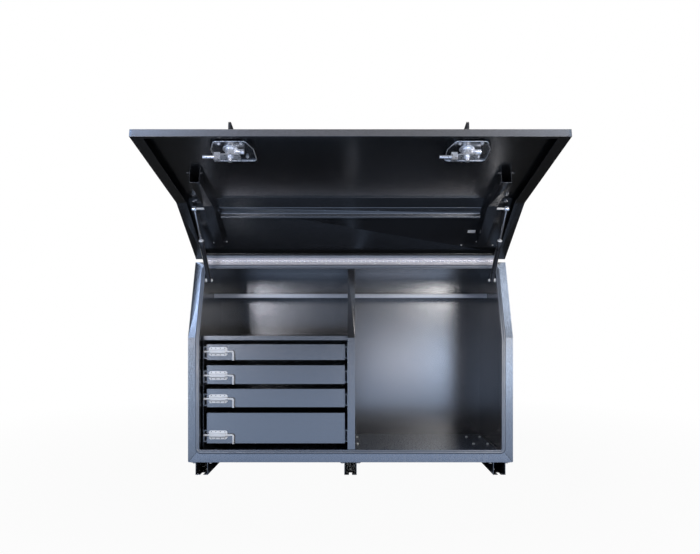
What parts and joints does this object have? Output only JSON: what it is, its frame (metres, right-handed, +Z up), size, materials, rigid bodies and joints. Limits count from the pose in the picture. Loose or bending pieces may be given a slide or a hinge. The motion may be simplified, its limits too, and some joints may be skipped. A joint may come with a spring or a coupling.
{
  "type": "jobsite storage box",
  "caption": "Upright steel tool box with a sloped upper front, a folding top-hinged door on gas struts, stacked drawers, open bays and channel feet.",
  "frame": {"origin": "centre of the four outer tray bolt holes, on the plane under the feet", "axes": "+X to the box's right seen from the front, +Y towards the back, +Z up; the door opens towards -Y"},
  "size_m": [1.2, 1.1559, 1.1273],
  "materials": {
    "black_powder_coat": "textured black powder coat, satin",
    "seal_rubber": "extruded rubber",
    "zinc_rail": "zinc-plated steel",
    "zinc_hardware": "bright zinc plate",
    "hinge_steel": "stainless steel",
    "strut_black": "smooth black paint",
    "strut_chrome": "hard chrome",
    "lock_zinc": "zinc plate",
    "lock_black": "black coated die casting"
  },
  "bodies": {
    "cabinet": {"left_side": "black_powder_coat", "right_side": "black_powder_coat", "back_panel": "black_powder_coat", "top_panel": "black_powder_coat", "floor_panel": "black_powder_coat", "left_jamb": "black_powder_coat", "right_jamb": "black_powder_coat", "header": "black_powder_coat", "sill": "black_powder_coat", "door_seal": "seal_rubber", "divider": "black_powder_coat", "drawer_support_panel": "black_powder_coat", "drawer_bay_top": "black_powder_coat", "rear_shelf": "black_powder_coat", "drawer_outer_rails": "zinc_rail", "foot_left": "black_powder_coat", "foot_centre": "black_powder_coat", "foot_right": "black_powder_coat", "foot_bolts": "zinc_hardware", "hinge_leaf_cabinet": "hinge_steel", "hinge_pin": "hinge_steel", "strut_studs_cabinet": "zinc_hardware"},
    "door": {"door_panel": "black_powder_coat", "hinge_leaf_door": "hinge_steel", "door_channel_left": "black_powder_coat", "door_channel_right": "black_powder_coat", "door_cross_rail": "black_powder_coat", "strut_studs_door": "zinc_hardware", "lock_pans": "black_powder_coat", "pan_screws": "lock_zinc", "lock_housings": "lock_zinc", "key_cylinders": "lock_zinc"},
    "left_strut_cylinder": {"left_strut_cylinder": "strut_black"},
    "left_strut_rod": {"left_strut_rod": "strut_chrome"},
    "right_strut_cylinder": {"right_strut_cylinder": "strut_black"},
    "right_strut_rod": {"right_strut_rod": "strut_chrome"},
    "left_lock_cam": {"left_lock_cam": "lock_zinc"},
    "left_t_handle": {"left_t_handle": "lock_black"},
    "right_lock_cam": {"right_lock_cam": "lock_zinc"},
    "right_t_handle": {"right_t_handle": "lock_black"},
    "top_drawer": {"top_drawer_tray": "black_powder_coat", "top_drawer_inner_rails": "zinc_rail", "top_drawer_bolt_case": "zinc_hardware"},
    "top_drawer_middle_rails": {"top_drawer_middle_rails": "zinc_rail"},
    "top_drawer_bolt": {"top_drawer_bolt": "zinc_hardware"},
    "upper_drawer": {"upper_drawer_tray": "black_powder_coat", "upper_drawer_inner_rails": "zinc_rail", "upper_drawer_bolt_case": "zinc_hardware"},
    "upper_drawer_middle_rails": {"upper_drawer_middle_rails": "zinc_rail"},
    "upper_drawer_bolt": {"upper_drawer_bolt": "zinc_hardware"},
    "lower_drawer": {"lower_drawer_tray": "black_powder_coat", "lower_drawer_inner_rails": "zinc_rail", "lower_drawer_bolt_case": "zinc_hardware"},
    "lower_drawer_middle_rails": {"lower_drawer_middle_rails": "zinc_rail"},
    "lower_drawer_bolt": {"lower_drawer_bolt": "zinc_hardware"},
    "deep_drawer": {"deep_drawer_tray": "black_powder_coat", "deep_drawer_inner_rails": "zinc_rail", "deep_drawer_bolt_case": "zinc_hardware"},
    "deep_drawer_middle_rails": {"deep_drawer_middle_rails": "zinc_rail"},
    "deep_drawer_bolt": {"deep_drawer_bolt": "zinc_hardware"}
  },
  "joints": [
    {"name": "door_hinge", "type": "hinge", "parent": "cabinet", "child": "door", "pos_m": [0, -0.17172, 0.80376], "axis": [-1, 0, 0], "range_deg": [-101.6, 0]},
    {"name": "left_strut_pivot", "type": "hinge", "parent": "cabinet", "child": "left_strut_cylinder", "pos_m": [-0.543, -0.18594, 0.727], "axis": [-1, 0, 0], "range_deg": [-110.38, 0]},
    {"name": "left_strut_slide", "type": "slide", "parent": "left_strut_cylinder", "child": "left_strut_rod", "axis": [0, -0.6872, 0.7265], "range_m": [-0.1149, 0]},
    {"name": "right_strut_pivot", "type": "hinge", "parent": "cabinet", "child": "right_strut_cylinder", "pos_m": [0.543, -0.18594, 0.727], "axis": [-1, 0, 0], "range_deg": [-110.38, 0]},
    {"name": "right_strut_slide", "type": "slide", "parent": "right_strut_cylinder", "child": "right_strut_rod", "axis": [0, -0.6872, 0.7265], "range_m": [-0.1149, 0]},
    {"name": "left_lock_turn", "type": "hinge", "parent": "door", "child": "left_lock_cam", "pos_m": [-0.34, -0.7933, 1.04189], "axis": [0, -0.2011, -0.9796], "range_deg": [-90, 0]},
    {"name": "left_handle_fold", "type": "hinge", "parent": "left_lock_cam", "child": "left_t_handle", "pos_m": [-0.34, -0.78897, 1.06296], "axis": [0, -0.9796, 0.2011], "range_deg": [-76, 0]},
    {"name": "right_lock_turn", "type": "hinge", "parent": "door", "child": "right_lock_cam", "pos_m": [0.33, -0.7933, 1.04189], "axis": [0, -0.2011, -0.9796], "range_deg": [-90, 0]},
    {"name": "right_handle_fold", "type": "hinge", "parent": "right_lock_cam", "child": "right_t_handle", "pos_m": [0.33, -0.78897, 1.06296], "axis": [0, -0.9796, 0.2011], "range_deg": [-76, 0]},
    {"name": "top_drawer_slide", "type": "slide", "parent": "cabinet", "child": "top_drawer", "axis": [0, -1, 0], "range_m": [0, 0.43]},
    {"name": "top_drawer_middle_slide", "type": "slide", "parent": "cabinet", "child": "top_drawer_middle_rails", "axis": [0, -1, 0], "range_m": [0, 0.215]},
    {"name": "top_drawer_bolt_slide", "type": "slide", "parent": "top_drawer", "child": "top_drawer_bolt", "axis": [1, 0, 0], "range_m": [-0.012, 0.012]},
    {"name": "upper_drawer_slide", "type": "slide", "parent": "cabinet", "child": "upper_drawer", "axis": [0, -1, 0], "range_m": [0, 0.43]},
    {"name": "upper_drawer_middle_slide", "type": "slide", "parent": "cabinet", "child": "upper_drawer_middle_rails", "axis": [0, -1, 0], "range_m": [0, 0.215]},
    {"name": "upper_drawer_bolt_slide", "type": "slide", "parent": "upper_drawer", "child": "upper_drawer_bolt", "axis": [1, 0, 0], "range_m": [-0.012, 0.012]},
    {"name": "lower_drawer_slide", "type": "slide", "parent": "cabinet", "child": "lower_drawer", "axis": [0, -1, 0], "range_m": [0, 0.43]},
    {"name": "lower_drawer_middle_slide", "type": "slide", "parent": "cabinet", "child": "lower_drawer_middle_rails", "axis": [0, -1, 0], "range_m": [0, 0.215]},
    {"name": "lower_drawer_bolt_slide", "type": "slide", "parent": "lower_drawer", "child": "lower_drawer_bolt", "axis": [1, 0, 0], "range_m": [-0.012, 0.012]},
    {"name": "deep_drawer_slide", "type": "slide", "parent": "cabinet", "child": "deep_drawer", "axis": [0, -1, 0], "range_m": [0, 0.43]},
    {"name": "deep_drawer_middle_slide", "type": "slide", "parent": "cabinet", "child": "deep_drawer_middle_rails", "axis": [0, -1, 0], "range_m": [0, 0.215]},
    {"name": "deep_drawer_bolt_slide", "type": "slide", "parent": "deep_drawer", "child": "deep_drawer_bolt", "axis": [1, 0, 0], "range_m": [-0.012, 0.012]}
  ],
  "couplings": [
    {"joint": "left_strut_pivot", "follows": "door_hinge", "ratio": 1.0845},
    {"joint": "left_strut_slide", "follows": "door_hinge", "m_per_rad": 0.064704},
    {"joint": "right_strut_pivot", "follows": "door_hinge", "ratio": 1.0845},
    {"joint": "right_strut_slide", "follows": "door_hinge", "m_per_rad": 0.064704},
    {"joint": "top_drawer_middle_slide", "follows": "top_drawer_slide", "ratio": 0.5},
    {"joint": "upper_drawer_middle_slide", "follows": "upper_drawer_slide", "ratio": 0.5},
    {"joint": "lower_drawer_middle_slide", "follows": "lower_drawer_slide", "ratio": 0.5},
    {"joint": "deep_drawer_middle_slide", "follows": "deep_drawer_slide", "ratio": 0.5}
  ]
}
